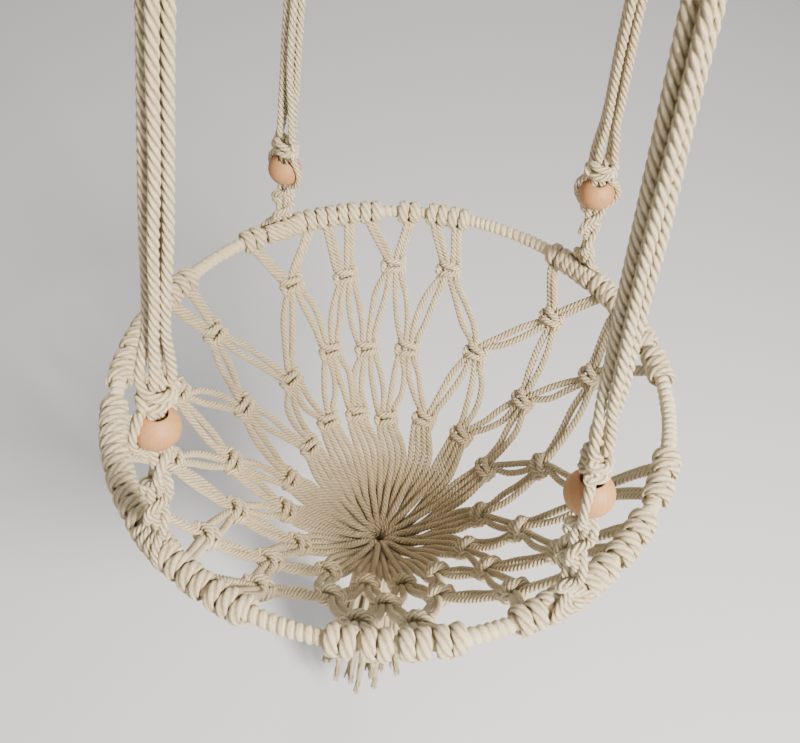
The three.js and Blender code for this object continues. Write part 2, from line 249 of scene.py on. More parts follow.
def rope(weave, line, diameter, lay, phase=None, widen=None, plies=PLIES, scale=None, rounds=4, frames=None):
    """A twisted cord along the line. widen = (direction, share) flattens it towards that direction."""
    tangent, a, b = frames or frames_along(line)
    s = np.r_[0, np.cumsum(np.linalg.norm(np.diff(line, axis=0), axis=1))]
    angle, radius = ply_section(plies, rounds)
    phase = rng.uniform(0, 2 * pi) if phase is None else phase
    turns = np.r_[0, np.cumsum(np.diff(s) / np.broadcast_to(lay, s.shape)[1:])]
    turn = phase - 2 * pi * turns
    theta = angle[None, :] + turn[:, None]
    size = diameter * (np.ones(len(line)) if scale is None else scale)
    r = radius[None, :] * size[:, None]
    out = (r * np.cos(theta))[..., None] * a[:, None] + (r * np.sin(theta))[..., None] * b[:, None]
    if widen is not None:
        direction, share = widen
        along = (out * direction[:, None]).sum(-1, keepdims=True) * direction[:, None]
        gain = share[:, None, None]
        out = along * gain + (out - along) / np.sqrt(gain)
    points = line[:, None] + out
    n, m = points.shape[:2]
    i = np.arange(n - 1)[:, None] * m
    j = np.arange(m)[None, :]
    nxt = (j + 1) % m
    quads = np.stack([i + j, i + nxt, i + m + nxt, i + m + j], -1).reshape(-1, 4)
    start = rng.uniform(0, 1)
    u = start + s / diameter
    u0 = np.broadcast_to(u[:-1, None], (n - 1, m))
    u1 = np.broadcast_to(u[1:, None], (n - 1, m))
    v0 = np.broadcast_to(j / m, (n - 1, m))
    v1 = v0 + 1 / m
    uv = np.stack([np.stack([u0, v0], -1), np.stack([u0, v1], -1),
                   np.stack([u1, v1], -1), np.stack([u1, v0], -1)], 2)
    points = points.reshape(-1, 3)
    # A cap at each end: a fan to the end's middle, written as quads.
    half = np.arange(0, m, 2)
    cap = np.stack([np.full(len(half), n * m), (half + 2) % m, (half + 1) % m, half], -1)
    far = (n - 1) * m
    cap_end = np.stack([np.full(len(half), n * m + 1), far + half, far + (half + 1) % m,
                        far + (half + 2) % m], -1)
    points = np.vstack([points, line[0], line[-1]])
    quads = np.vstack([quads, cap, cap_end])
    uv = np.vstack([uv.reshape(-1, 2), np.full((8 * len(half), 2), 0.5)])
    weave.add(points, quads, uv)


# ---------- the net's surface and the knots ----------
def net_point(angle, share, lift=0.0):
    a, inward = radians(angle), 1 - share
    return np.array((HOOP_RADIUS * share * cos(a) + BOWL_SHIFT[0] * inward,
                     HOOP_RADIUS * share * sin(a) + BOWL_SHIFT[1] * inward,
                     -BOWL_DEPTH * (1 - share**BOWL_POWER) + lift))


def net_axes(angle, share):
    """Columns: to the right as seen from inside the bowl, up towards the hoop, and into the bowl."""
    a = radians(angle)
    up = unit(net_point(angle, share + 0.02) - net_point(angle, share - 0.02))
    right = np.array((sin(a), -cos(a), 0))
    return np.stack([right, up, np.cross(right, up)], -1)


def hoop_point(angle, across, around, reach):
    """A place on the hoop. across is in cords to the right as seen from inside the bowl, and around is in
    degrees from the hoop's outside over its top. reach is millimetres from the wire's middle."""
    a = radians(angle) - across * CORD / HOOP_RADIUS
    p = radians(around)
    radial = np.array((cos(a), sin(a), 0))
    return radial * (HOOP_RADIUS + reach * cos(p)) + np.array((0, 0, reach * sin(p)))


# Square knot: each cord's route from top to bottom, in cord diameters (right, up, towards the viewer).
KNOT = {
    "left": [(-1.28, 1.25, .05), (-1.2, .98, .35), (-.5, .70, .95), (.5, .60, .95), (1.22, .42, .45),
             (1.42, .05, -.25), (1.25, -.3, .35), (.45, -.55, .95), (-.45, -.66, .95), (-1.0, -.82, .5),
             (-1.2, -1.25, .05)],
    "core_left": [(-.46, 1.3, 0), (-.42, .6, -.05), (-.42, -.6, -.05), (-.46, -1.3, 0)],
    "core_right": [(.46, 1.3, 0), (.42, .6, -.05), (.42, -.6, -.05), (.46, -1.3, 0)],
    "right": [(1.3, 1.3, .05), (1.6, .85, .42), (1.15, .3, -.6), (0, .1, -.95), (-1.1, .2, -.6),
              (-1.58, .28, .1), (-1.55, -.1, .5), (-1.48, -.5, .5), (-1.25, -.85, .0), (-.9, -.9, -.65),
              (0, -.8, -.95), (1.1, -.75, -.6), (1.6, -.5, .3), (1.42, -1.0, .25), (1.28, -1.3, .05)],
}


def knot_route(role, centre, axes, seed, size=1.0):
    """The role's points in a knot, with a little of the hand's unevenness that all four cords share."""
    hand = np.random.default_rng(seed)
    turn, stretch = hand.normal(0, 0.07), 1 + hand.normal(0, 0.05)
    spin = np.array(((cos(turn), -sin(turn), 0), (sin(turn), cos(turn), 0), (0, 0, 1)))
    local = np.array(KNOT[role]) * (size, size * stretch, size) * CORD
    return centre + local @ spin.T @ axes.T


# Half a lark's head from the hanging cord to the bar: across and reach in cords, around in degrees.
HITCH = [
    (-.36, 236, 1.0), (-.40, 262, .60), (-.46, 295, .46), (-.60, 335, .40), (-.68, 15, .38),
    (-.72, 60, .38), (-.75, 105, .38), (-.77, 150, .38), (-.80, 190, .38), (-.86, 225, .42),
    (-.92, 255, .55), (-.72, 278, .95), (0, 288, 1.15),
]
LOOP_SPREAD = 1.08      # the loops over the hoop are pushed this much apart by their neighbours


def hitch_route(angle, side):
    """Half of a lark's head, from the hanging cord to the middle of its bar. side is -1 left, 1 right."""
    return [hoop_point(angle, -side * across * (LOOP_SPREAD if k > 2 else 1), around,
                       WRAP_RADIUS + reach * CORD) for k, (across, around, reach) in enumerate(HITCH)]


ROW_TWO_ROLES = {"A": "core_right", "C": "right", "D": "left", "B": "core_left"}
ROW_ROLES = {"A": "left", "C": "core_left", "D": "core_right", "B": "right"}
ORDER = "ACDB"                                # left to right, seen from inside
LAYER = {"C": 0, "B": 1, "A": 2, "D": 3}      # which cord lies over which where they crowd together
PLUNGE = (5.0, 8.5, 11.5, 14.5)               # how near the middle each layer turns down


def ease(t):
    t = min(1.0, max(0.0, t))
    return t * t * (3 - 2 * t)


def bottom_route(gore, cord):
    """From row three along the bowl's bottom, side by side, then in layers, then down through the winding."""
    layer = LAYER[cord]
    even = 193 - 22.5 * gore + (1.5 - ORDER.index(cord)) * 22.5 / 4
    at_knot = GORES[gore][3]
    turn_down = PLUNGE[layer] + (1.8 if layer == 0 and gore % 2 else 0)
    route = []
    for share in (0.345, 0.29, 0.24, 0.195, 0.155, 0.12, 0.09, 0.065):
        radius = share * HOOP_RADIUS
        if radius < turn_down + 3.2:
            break
        spread = ease((at_knot[1] - share) / (at_knot[1] - 0.27))
        near = at_knot[0] + (1.5 - ORDER.index(cord)) * degrees(CORD / radius) * 1.02
        angle = near + (even - near) * spread
        depth = layer * 0.93 * CORD * ease((46 - radius) / 32)
        route.append(net_point(angle, share, -depth))
    a = radians(even)
    middle = np.array((BOWL_SHIFT[0], BOWL_SHIFT[1], 0.0))
    out = np.array((cos(a), sin(a), 0))
    base = net_point(even, turn_down / HOOP_RADIUS)[2] - layer * 0.93 * CORD
    for radius, z in ((turn_down + 1.2, base - 1.2), (turn_down, base - 4.5),
                      (turn_down - .3, -166), (turn_down - .3, -172)):
        route.append(middle + out * radius + np.array((0, 0, z)))
    return route


def gore_cord_route(gore, cord):
    """One cord length from the hitch down to the gathering winding."""
    hitches, one, two, three = GORES[gore]
    left = cord in "AC"
    before = GORES[gore - 1][2]
    row_two, two_seed = (before, (gore - 1) % 16) if left else (two, gore)
    side = -1 if cord in "AD" else 1
    top = hitch_route(hitches[0 if left else 1], side)[::-1]
    knots = [
        knot_route(ROW_ROLES[cord], net_point(*one), net_axes(*one), 100 + gore),
        knot_route(ROW_TWO_ROLES[cord], net_point(*row_two), net_axes(*row_two), 200 + two_seed),
        knot_route(ROW_ROLES[cord], net_point(*three), net_axes(*three), 300 + gore, 0.97),
    ]
    centres = [net_point(*one), net_point(*row_two), net_point(*three)]
    axes = [net_axes(*one), net_axes(*row_two), net_axes(*three)]
    partner = {"A": "C", "C": "A", "D": "B", "B": "D"}[cord]
    route = list(top) + list(knots[0])
    for k in (0, 1):
        roles = (ROW_ROLES, ROW_TWO_ROLES, ROW_ROLES)
        pair = (cord, partner)
        ends = [np.array(KNOT[roles[k][c]][-1]) * CORD @ axes[k].T + centres[k] for c in pair]
        starts = [np.array(KNOT[roles[k + 1][c]][0]) * CORD @ axes[k + 1].T + centres[k + 1] for c in pair]
        run = unit(np.mean(starts, 0) - np.mean(ends, 0))
        normal = unit(axes[k][:, 2] + axes[k + 1][:, 2])
        right = unit(np.cross(run, normal))           # the run goes down, so this points right
        right = right if right @ axes[k][:, 0] > 0 else -right
        hand = np.random.default_rng(7000 + 8 * gore + 4 * (cord in "AC") + k)
        loose, shift = hand.uniform(0.51, 0.86, 2), hand.normal(0, 0.26) * CORD * right
        sag = -hand.uniform(0.1, 0.6) * CORD * normal
        for t, apart in zip((0.32, 0.68), loose):
            middle = np.mean(ends, 0) * (1 - t) + np.mean(starts, 0) * t
            route.append(middle + right * apart * CORD * (-1 if cord in "AD" else 1) + shift + sag)
        route += list(knots[k + 1])
    return route + bottom_route(gore, cord)


# ---------- build: the net ----------
STEP = 0.8
COTTON, THIN, WOOD = [], [], []      # the pieces that take each finish


def flatten_over_hoop(line):
    """How much the cord is widened along the hoop where it is pulled tight over it."""
    radial = np.hypot(line[:, 0], line[:, 1])
    direction = np.stack([-line[:, 1] / radial, line[:, 0] / radial, np.zeros(len(line))], -1)
    reach = np.hypot(radial - HOOP_RADIUS, line[:, 2])
    near = np.clip((WRAP_RADIUS + 0.62 * CORD - reach) / 0.6, 0, 1)
    return direction, 1 + 0.60 * near


# Further turns that the cords' ends take round the hoop beside their hitches, in degrees along it.
EXTRA_TURNS = (-150.3, -152.7, -155.1, -162.8, -165.2, -177.6, 168, 165.5, 27.8, 17.6, 15.1, 12.6, 3.0, -52.7,
               -114.4, -141.6)


def extra_turns(weave, gore):
    """The further turns nearest to this gore's hitches, each a flattened loop close round the winding."""
    def nearest(angle):
        return min(range(16), key=lambda g: min(abs((h - angle + 180) % 360 - 180) for h in GORES[g][0]))
    for k, angle in enumerate(EXTRA_TURNS):
        if nearest(angle) == gore:
            slant = 0.28 * (-1) ** k
            route = [hoop_point(angle, slant * cos(radians(around)), around, WRAP_RADIUS + 0.40 * CORD)
                     for around in range(270, 631, 15)]
            line = curve_through(route, STEP)
            direction, share = flatten_over_hoop(line)
            rope(weave, world(line), CORD * MM, NET_LAY * 2.0 * MM, widen=(direction @ TURN.T, share))


def make_gore(gore):
    weave = Weave()
    extra_turns(weave, gore)
    for pair in ("AC", "DB"):
        first, second = (gore_cord_route(gore, c) for c in pair)
        line = curve_through(first[::-1] + second[1:], STEP)
        direction, share = flatten_over_hoop(line)
        lay = NET_LAY * (1 + 2.2 * (share - 1))
        rope(weave, world(line), CORD * MM, lay * MM, widen=(direction @ TURN.T, share))
    piece = weave.object(f"net_cords_{gore + 1:02d}")
    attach(piece, "hanger")
    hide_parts(f"net_gore_{gore + 1:02d}")
    COTTON.append(piece)


for gore in range(16):
    make_gore(gore)


# ---------- hoop winding ----------
def grid_quads(rows, columns, close_rows, close_columns):
    """Quads and per-corner (row, column) numbers of a grid of points."""
    r = np.arange(rows if close_rows else rows - 1)[:, None]
    c = np.arange(columns if close_columns else columns - 1)[None, :]
    r, c = np.broadcast_arrays(r, c)
    corners = [(r, c), (r + 1, c), (r + 1, c + 1), (r, c + 1)]
    quads = np.stack([(i % rows) * columns + (j % columns) for i, j in corners], -1).reshape(-1, 4)
    places = np.stack([np.stack([i, j], -1) for i, j in corners], 2).reshape(-1, 2)
    return quads, places


def make_hoop_winding():
    """The cord wound round the wire, as a torus whose surface follows each flattened turn and its plies."""
    turns, per_turn, around = 226, 12, 36
    n = turns * per_turn
    u = (np.arange(n) / n)[:, None]
    v = (np.arange(around) / around)[None, :]
    hand = np.random.default_rng(11)
    wander = sum(hand.uniform(-.25, .25) * np.sin(2 * pi * (k * u + hand.uniform())) for k in (5, 9, 14, 23))
    phase = turns * u + v + wander
    ridge = np.abs(np.cos(pi * phase)) ** 0.55
    ply = np.abs(np.cos(pi * (3 * phase + 2 * v))) ** 0.8
    swell = sum(hand.uniform(-.1, .1) * np.sin(2 * pi * (k * u + hand.uniform())) for k in (31, 47, 71))
    radius = WRAP_RADIUS - 1.35 + 1.1 * ridge + 0.34 * ply * ridge + swell
    a, p = 2 * pi * u, 2 * pi * v
    flat = HOOP_RADIUS + radius * np.cos(p)
    points = np.stack([flat * np.cos(a), flat * np.sin(a), radius * np.sin(p)], -1).reshape(-1, 3)
    quads, places = grid_quads(n, around, True, True)
    uv = np.stack([places[:, 0] / n * turns + places[:, 1] / around, places[:, 1] / around], -1)
    piece = mesh_object("hoop_winding", world(points), quads, uv)
    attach(piece, "hanger")
    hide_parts("hoop_wrap_cord")
    THIN.append(piece)


make_hoop_winding()


# ---------- strands ----------
class Strand:
    """One strand's line from its foot on the hoop to the apex, and its own axes."""

    def __init__(self, name):
        self.name = name
        self.angle, self.bead, right, self.beside, self.bundle = STRANDS[name]
        a = radians(self.angle)
        self.outward = np.array((cos(a), sin(a), 0.0))
        self.foot = HOOP_RADIUS * self.outward
        self.along = unit(np.array(APEX) - self.foot)
        self.level = np.array((cos(radians(right)), sin(radians(right)), 0.0))
        self.right = unit(self.level - self.along * (self.level @ self.along))
        self.face = np.cross(self.right, self.along)
        self.facing = 1 if name.startswith("front") else -1     # which way its foot's cords are read
        self.bead_top = self.bead + BEAD["height"] / 2
        self.bead_bottom = self.bead - BEAD["height"] / 2
        self.knot_height = self.bead_top + 3 + 1.4 * CORD

    def at(self, height, right=0.0, face=0.0):
        return self.foot + self.along * (height / self.along[2]) + self.right * right + self.face * face

    def axes(self):
        return np.stack([self.right, self.along, self.face], -1)


ROLES = ("left", "core_left", "core_right", "right")
SPIN = {"back_left": 40, "back_right": 75, "front_right": 75, "front_left": 75}    # degrees per half knot
SINNET = {"pitch": 3.1, "side": 1.28, "front": 0.82, "core": 0.46}     # in cord diameters


def foot_route(strand, across):
    """Down over the outside of the hoop, round it once, and in under the other cords. Bottom end first."""
    turns = [(92, .1), (110, .35), (150, .48), (190, .5), (230, .5), (270, .5), (310, .5), (350, .5),
             (385, .5), (415, .62)]      # degrees round the hoop, and reach in cords
    return [hoop_point(strand.angle, -across * strand.facing * (1.25 if around < 400 else 1.0), around,
                       WRAP_RADIUS + reach * CORD) for around, reach in turns]


def turned(x, y, angle):
    return x * cos(angle) - y * sin(angle), x * sin(angle) + y * cos(angle)


def sinnet_route(strand, start, top, bottom, half_knots, twist):
    """A working cord of the half-knot sinnet, bottom first: it crosses in front, then behind."""
    route = []
    for k in range(half_knots * 8, -1, -1):
        psi = k * pi / 8
        drop = (psi + 0.22 * sin(2 * psi)) / (half_knots * pi)
        tight = 1 - 0.12 * (k % 3) if k % 8 == 0 else 1      # some half knots are drawn tighter
        x = SINNET["side"] * CORD * cos(start + psi) * tight
        y = SINNET["front"] * CORD * sin(start + psi)
        route.append(strand.at(top - (top - bottom) * drop, *turned(x, y, twist * drop)))
    return route


def strand_routes(name):
    """Bottom to top, each of the four cords. The second list holds where the hanger cord begins."""
    strand = Strand(name)
    routes, cuts = [], []
    seed = 500 + len(name) + strand.bead
    hand = np.random.default_rng(seed)
    low, high = WRAP_RADIUS + 1.7 * CORD, strand.bead_bottom - 2.0
    half_knots = max(2, int(round((high - low) / (SINNET["pitch"] * CORD))))
    # The band lies along the hoop at its foot and along the row of cords at its top.
    tangent = np.array((-strand.outward[1], strand.outward[0], 0)) * strand.facing
    end = np.arctan2(tangent @ strand.face, tangent @ strand.right)
    twist = end + pi * round((radians(-SPIN[name]) * half_knots - end) / pi)
    for k, role in enumerate(ROLES):
        route = foot_route(strand, (k - 1.5) * 1.02)
        sign = -1 if k < 2 else 1
        if role in ("left", "right"):
            route += sinnet_route(strand, 0 if role == "right" else pi, high, low, half_knots, twist)
            beside = BEAD["diameter"] / 2 + 0.41 * CORD
            turn = radians(strand.beside[0 if sign < 0 else 1])
            for height, share in ((strand.bead - 5.0, .90), (strand.bead, 1.0), (strand.bead + 5.0, .90)):
                route.append(strand.at(height, sign * beside * share * cos(turn), beside * share * sin(turn)))
        else:
            for t in np.linspace(0, 1, 2 * half_knots + 1):
                x, y = turned(sign * SINNET["core"] * CORD, 0, twist * (1 - t))
                route.append(strand.at(low + (high - low) * t, x, y))
            route += [strand.at(h, sign * 0.46 * CORD, 0) for h in
                      (strand.bead_bottom, strand.bead, strand.bead_top + 1)]
        route += list(knot_route(role, strand.at(strand.knot_height), strand.axes(), seed)[::-1])
        cuts.append((strand.knot_height + 1.0 * CORD) if role in ("left", "right") else strand.knot_height)
        route += upper_route(strand, k, hand)
        routes.append(np.array(route))
    return strand, routes, cuts


def upper_route(strand, k, hand):
    """From the knot up to the bundle under the binding, and on inside it."""
    start = strand.knot_height + 1.4 * CORD
    place = radians(strand.bundle)
    side = np.array((strand.level[1], -strand.level[0], 0))
    offset = BUNDLE_RADIUS * np.array((cos(place), sin(place), 0))
    offset = offset + strand.level * UNDER_BINDING[k][0] * CORD + side * UNDER_BINDING[k][1] * CORD
    end = np.array(APEX) + offset - (0, 0, 2)
    route = []
    above_knot = (3, 12, 24, 40, 62, 90, 125, 170, 230, 300, 380, 460)
    for height in [start + step for step in above_knot] + [0.75 * APEX[2]]:
        t = ease((height - start) / 34)
        wobble = hand.normal(0, 0.3, 2) * t
        turn = radians(TURNED[strand.name] - 0.07 * (height - start)) * t * (1 - ease((height - 400) / 200))
        across, out = turned(0.90 * ALONG[k][0], 0.90 * ALONG[k][1], turn)
        x = CORD * (OVER_KNOT[k][0] * (1 - t) + across * t) + wobble[0]
        y = CORD * (OVER_KNOT[k][1] * (1 - t) + out * t) + wobble[1]
        route.append(strand.at(height, x, y))
    inside = np.array(APEX) + offset * 0.66
    return route + [end] + [inside + (0, 0, z) for z in (11, 24, TOP_WRAP["height"] - 3)]


def make_strand(name):
    strand, routes, cuts = strand_routes(name)
    sinnet = Weave()
    for k, (route, cut) in enumerate(zip(routes, cuts)):
        line = curve_through(route, STEP)
        height = line[:, 2]
        above = np.argmax(height > cut + 0.2 * CORD) if k in (1, 2) else np.argmax(height > cut)
        direction, share = flatten_over_hoop(line[:above + 1])
        upper = Weave()
        lay = np.where(height < strand.bead_bottom, NET_LAY * 1.2, STRAND_LAY)
        size = 0.98 - 0.04 * np.clip((height - strand.knot_height) / 30, 0, 1)
        if k in (0, 3):      # drawn thin where they're pulled round the bead
            size = size - 0.16 * np.clip(1.6 - np.abs(height - strand.bead) / 6, 0, 1)
        widen = np.ones(len(line))
        widen[:above + 1] = 1 + (share - 1) * (height[:above + 1] < 12)
        spin = np.repeat(direction[:1], len(line), 0)
        spin[:above + 1] = direction
        rope_split(sinnet, upper, world(line), CORD * MM, lay * MM, rng.uniform(0, 2 * pi), above,
                   (spin @ TURN.T, widen), size)
        piece = upper.object(f"strand_cord_{name}_{k + 1}")
        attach(piece, "hanger")
        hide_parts(f"hanger_cord_{name}_{k + 1}")
        COTTON.append(piece)
    piece = sinnet.object(f"twist_{name}")
    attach(piece, "hanger")
    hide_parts(f"sinnet_{name}")
    COTTON.append(piece)


def rope_split(lower, upper, line, diameter, lay, phase, at, widen, size):
    """One rope in two pieces that meet at point number `at` with the same section there."""
    s = np.r_[0, np.cumsum(np.linalg.norm(np.diff(line, axis=0), axis=1))]
    frames = frames_along(line)
    turns = np.cumsum(np.r_[0, np.diff(s) / lay[1:]])
    for weave, part in ((lower, slice(0, at + 1)), (upper, slice(at, len(line)))):
        rope(weave, line[part], diameter, lay[part], phase - 2 * pi * turns[part.start],
             (widen[0][part], widen[1][part]), scale=size[part], frames=[f[part] for f in frames])


for name in STRANDS:
    make_strand(name)


# ---------- beads, hanging ring ----------
def lathe(name, outline, steps=96):
    """A solid turned round its own z axis from a closed outline of (radius, height)."""
    outline = np.asarray(outline, float)
    angle = np.arange(steps) * 2 * pi / steps
    points = np.stack([outline[:, 0, None] * np.cos(angle), outline[:, 0, None] * np.sin(angle),
                       np.broadcast_to(outline[:, 1, None], (len(outline), steps))], -1).reshape(-1, 3)
    quads, places = grid_quads(len(outline), steps, True, True)
    return mesh_object(name, points * MM, quads[:, ::-1], places[:, ::-1] / (steps, len(outline)))


def make_bead(name):
    strand = Strand(name)
    r, h, bore = BEAD["diameter"] / 2, BEAD["height"] / 2, BEAD["hole"] / 2
    a = np.linspace(-1, 1, 41) * 1.05
    out = np.stack([r * np.cos(a), h * np.sin(a) / sin(1.05)], -1)
    lip = [(bore + .18, h - .0), (bore, h - .45)]
    outline = [(x, -y) for x, y in lip[::-1]] + [tuple(p) for p in out if p[0] > bore + .3] + lip
    piece = lathe(f"wood_bead_{name}", outline)
    up = Vector(to_up @ Vector(strand.along))
    piece.matrix_world = Matrix.Translation(Vector(world(strand.at(strand.bead)))) @ \
        Vector((0, 0, 1)).rotation_difference(up).to_matrix().to_4x4() @ \
        Matrix.Rotation(radians(strand.angle * 3), 4, "Z")
    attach(piece, f"bead_{name}")
    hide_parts(f"bead_{name}")
    WOOD.append(piece)


for name in STRANDS:
    make_bead(name)


def make_hanging_ring():
    major, minor = (RING["outer"] - RING["wire"]) / 2, RING["wire"] / 2
    rows, columns = 144, 40
    a = (np.arange(rows) * 2 * pi / rows)[:, None]
    b = (np.arange(columns) * 2 * pi / columns)[None, :]
    flat = major + minor * np.cos(b)
    points = np.stack([flat * np.cos(a), np.broadcast_to(-minor * np.sin(b), (rows, columns)),
                       flat * np.sin(a) + RING_MIDDLE], -1)
    quads, places = grid_quads(rows, columns, True, True)
    piece = mesh_object("wood_ring", points.reshape(-1, 3) * MM, quads[:, ::-1],
                        places / (rows, columns))
    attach(piece, "ring")
    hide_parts("hanging_ring")
    WOOD.append(piece)


make_hanging_ring()


# ---------- top: binding and loops, in the planter's own frame ----------
def helix(radius, z0, z1, turns, wobble=0.0, seed=0, per_turn=40):
    hand = np.random.default_rng(seed)
    n = int(turns * per_turn)
    t = np.linspace(0, 1, n + 1)
    a = 2 * pi * turns * t
    r = radius + wobble * np.sin(a * 0.37 + hand.uniform(0, 6))
    return np.stack([r * np.cos(a), r * np.sin(a), z0 + (z1 - z0) * t + wobble * np.sin(a * .5)], -1)


def make_top():
    weave = Weave()
    height, ring_middle = TOP_WRAP["height"], TOP_WRAP["height"] + RING_RISE
    lift = np.array((0, 0, APEX_DROP))
    radius = TOP_WRAP["radius"] - CORD / 2 - 0.1
    winding = helix(radius, CORD / 2, height - CORD / 2, (height - CORD) / (0.97 * CORD), 0.12, 5)
    tuck = [winding[-1] + (-3, 1.5, .2), winding[-1] + (-7.5, 2, -3)]
    rope(weave, curve_through((list(winding[::4]) + tuck + lift), STEP) * MM, CORD * MM, NET_LAY * MM)
    wire_radius = (RING["outer"] - RING["wire"]) / 2
    clear = RING["wire"] / 2 + CORD / 2 + 0.35
    for turn in (-44, -22, 0, 22, 44):
        a = radians(turn)
        centre = np.array((wire_radius * sin(a), 0, ring_middle - wire_radius * cos(a)))
        inward = np.array((-sin(a), 0, cos(a)))
        leg = np.array((6.4 * sin(a), 0, 0))
        route = [leg + (0, -5, height - 12), leg + (0, -5, height - 2)]
        for b in np.radians(np.linspace(-100, 100, 9)):
            route.append(centre + inward * clear * cos(b) + (0, clear * sin(b), 0))
        route += [leg + (0, 5, height - 2), leg + (0, 5, height - 12)]
        rope(weave, curve_through(np.array(route) + lift, STEP) * MM, 0.98 * CORD * MM, NET_LAY * MM)
    piece = weave.object("binding_and_loops")
    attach(piece, "hanger")
    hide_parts("top_binding")
    COTTON.append(piece)


make_top()


# ---------- gathering winding and tassel ----------
NET_MIDDLE = np.array((BOWL_SHIFT[0], BOWL_SHIFT[1], 0.0))


def make_gathering():
    weave = Weave()
    line = helix(GATHER["radius"], GATHER["top"], GATHER["bottom"], GATHER["turns"], 0.25, 3)
    start = [line[0] + (-6, -4, -5), line[0] + (-1.6, -1.5, -1.2)]
    end = [line[-1] + (-1, 1, -1.5), line[-1] + (-7, 2, 2)]
    points = np.array(start + list(line[::4]) + [line[-1]] + end) + NET_MIDDLE
    rope(weave, world(curve_through(points, STEP)), CORD * MM, NET_LAY * MM)
    piece = weave.object("gathering_winding")
    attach(piece, "hanger")
    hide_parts("gathering_knot")
    COTTON.append(piece)


make_gathering()


def make_tassel(count=40):
    """Cut cord ends that hang in a loose bunch, each with its plies coming apart at the tip."""
    hand = np.random.default_rng(21)
    start_z, swing_z = -168.0, -196.0
    for k in range(count):
        share = sqrt((k + 0.6) / count)
        angle = k * 2.39996 + hand.normal(0, 0.08)
        length = hand.uniform(0.93, 1.03) * TASSEL["length"]
        top, low = 14.6 * share, (TASSEL["bottom"] - 6) * share * hand.uniform(0.88, 1.0)
        curl, lean = hand.normal(0, 0.10), hand.normal(0, 1.6, 2)
        steps = np.linspace(0, 1, 9)
        radius = top + (low - top) * (0.25 * steps + 0.75 * steps**1.6)
        theta = angle + curl * steps**2
        wave = hand.uniform(0, 2 * pi)
        bend = 0.9 * np.sin(wave + steps * hand.uniform(4, 8)) * steps
        line = np.stack([radius * np.cos(theta) + lean[0] * steps * (1 - steps) + bend - 15 * steps**1.4,
                         radius * np.sin(theta) + lean[1] * steps * (1 - steps) - bend - 12 * steps**1.4,
                         start_z - length * steps], -1) + NET_MIDDLE
        line = curve_through(line, STEP)
        weave = Weave()
        s = np.r_[0, np.cumsum(np.linalg.norm(np.diff(line, axis=0), axis=1))]
        fray = hand.uniform(10, 22)
        whole = np.argmax(s > s[-1] - fray)
        at = world(line)
        frames = frames_along(at)
        lay = NET_LAY * 1.1 * MM
        phase = hand.uniform(0, 2 * pi)
        rope(weave, at[:whole + 1], CORD * MM, lay, phase, frames=[f[:whole + 1] for f in frames],
             scale=1 - 0.28 * np.clip((s[:whole + 1] - s[whole] + 6) / 6, 0, 1) ** 2)
        tip = s[whole:] - s[whole]
        for ply in range(PLIES):
            part = slice(max(0, whole - 4), len(at))
            t = np.clip((s[part] - s[whole]) / fray, 0, 1)
            turn = phase + 2 * pi * (ply / PLIES) - 2 * pi * s[whole] * MM / lay - hand.uniform(1.2, 2.8) * t
            reach = (0.24 + 0.30 * t ** 0.8 * hand.uniform(0.3, 1.0)) * CORD * MM
            centre = at[part] + frames[1][part] * (reach * np.cos(turn))[:, None] + \
                frames[2][part] * (reach * np.sin(turn))[:, None]
            rope(weave, centre, 0.50 * CORD * MM, 3.6 * MM, plies=3, rounds=3,
                 scale=1 - 0.35 * np.clip((t - 0.7) / 0.3, 0, 1))
        piece = weave.object(f"tassel_cord_{k + 1:02d}")
        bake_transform(piece)
        if k == 0:
            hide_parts("tassel")
        COTTON.append(piece)


make_tassel()


# ---------- looks ----------
class Nodes:
    """A small helper that builds a material's node tree."""

    def __init__(self, name):
        self.material = bpy.data.materials.new(name)
        self.material.use_nodes = True
        self.tree = self.material.node_tree
        self.shader = self.tree.nodes["Principled BSDF"]

    def link(self, source, target):
        self.tree.links.new(source, target)

    def put(self, target, value):
        if hasattr(value, "is_linked"):
            self.link(value, target)
        else:
            target.default_value = value

    def add(self, kind, **inputs):
        node = self.tree.nodes.new(kind)
        for key, value in inputs.items():
            self.put(node.inputs[key.replace("_", " ")], value)
        return node

    def math(self, operation, a, b=0.0, c=0.0):
        node = self.tree.nodes.new("ShaderNodeMath")
        node.operation = operation
        for socket, value in zip(node.inputs, (a, b, c)):
            self.put(socket, value)
        return node.outputs[0]

    def noise(self, vector, scale, detail=2.0, rough=0.5):
        node = self.add("ShaderNodeTexNoise", Vector=vector, Scale=scale, Detail=detail, Roughness=rough)
        return node.outputs["Fac"]

    def ramp(self, value, *stops):
        node = self.tree.nodes.new("ShaderNodeValToRGB")
        self.link(value, node.inputs[0])
        band = node.color_ramp
        while len(band.elements) < len(stops):
            band.elements.new(0.5)
        for element, (place, color) in zip(band.elements, stops):
            element.position = place
            element.color = (*color, 1) if isinstance(color, tuple) else (color, color, color, 1)
        return node.outputs[0]

    def mix(self, factor, a, b, blend="MIX"):
        node = self.tree.nodes.new("ShaderNodeMix")
        node.data_type, node.blend_type = "RGBA", blend
        self.put(node.inputs[0], factor)
        for socket, value in ((node.inputs[6], a), (node.inputs[7], b)):
            self.put(socket, (*value, 1) if isinstance(value, tuple) else value)
        return node.outputs[2]

    def vector(self, x, y, z=0.0):
        node = self.tree.nodes.new("ShaderNodeCombineXYZ")
        for socket, value in zip(node.inputs, (x, y, z)):
            self.put(socket, value)
        return node.outputs[0]

    def bump(self, height, distance, strength=1.0, normal=None):
        node = self.add("ShaderNodeBump", Height=height, Distance=distance, Strength=strength)
        if normal is not None:
            self.link(normal, node.inputs["Normal"])
        return node.outputs[0]


LIT_COTTON, SHADE_COTTON, STAIN = (0.90, 0.78, 0.525), (0.34, 0.225, 0.11), (0.76, 0.575, 0.32)


